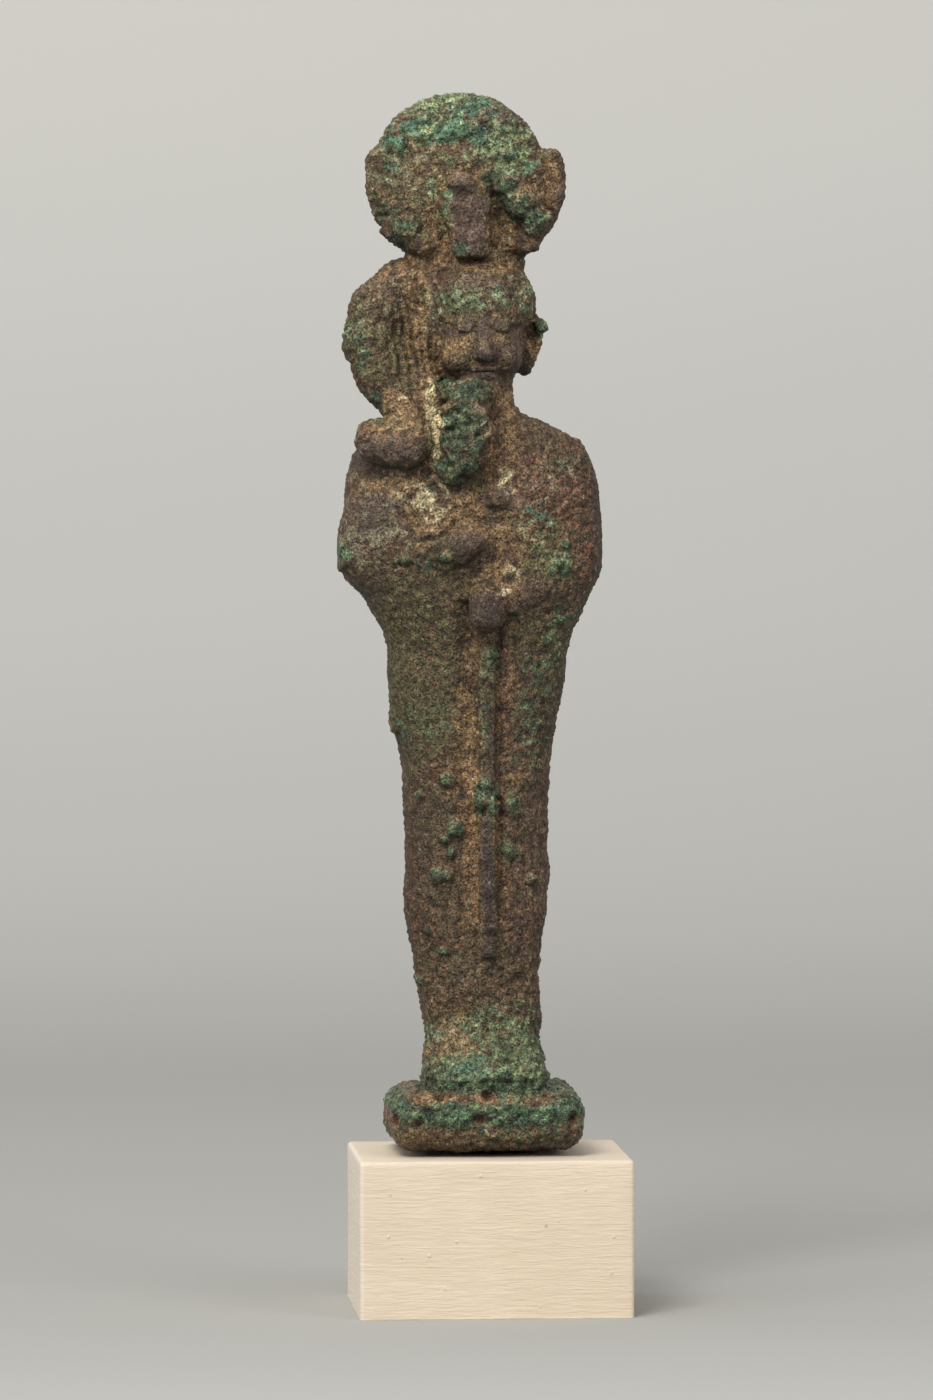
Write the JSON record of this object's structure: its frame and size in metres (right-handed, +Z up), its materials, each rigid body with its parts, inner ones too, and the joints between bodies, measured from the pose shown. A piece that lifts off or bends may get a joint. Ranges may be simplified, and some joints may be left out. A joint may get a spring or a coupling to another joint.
{
  "type": "copper alloy khonsu statuette",
  "caption": "Small cast copper alloy statuette of a mummiform god with a full-moon crown, sidelock and staff, on a painted wooden mounting block.",
  "frame": {"origin": "centre of the block's underside", "axes": "+Z up towards the crown; the figure faces -Y"},
  "size_m": [0.0266, 0.02, 0.1121],
  "materials": {
    "patinated_copper_alloy": "leaded bronze under a rough brown, olive and green corrosion crust with pale earth in the recesses",
    "painted_wood": "small wooden block under matt cream paint, with horizontal brush marks"
  },
  "bodies": {
    "root": {"statuette": "patinated_copper_alloy", "mounting_block": "painted_wood"}
  },
  "joints": []
}
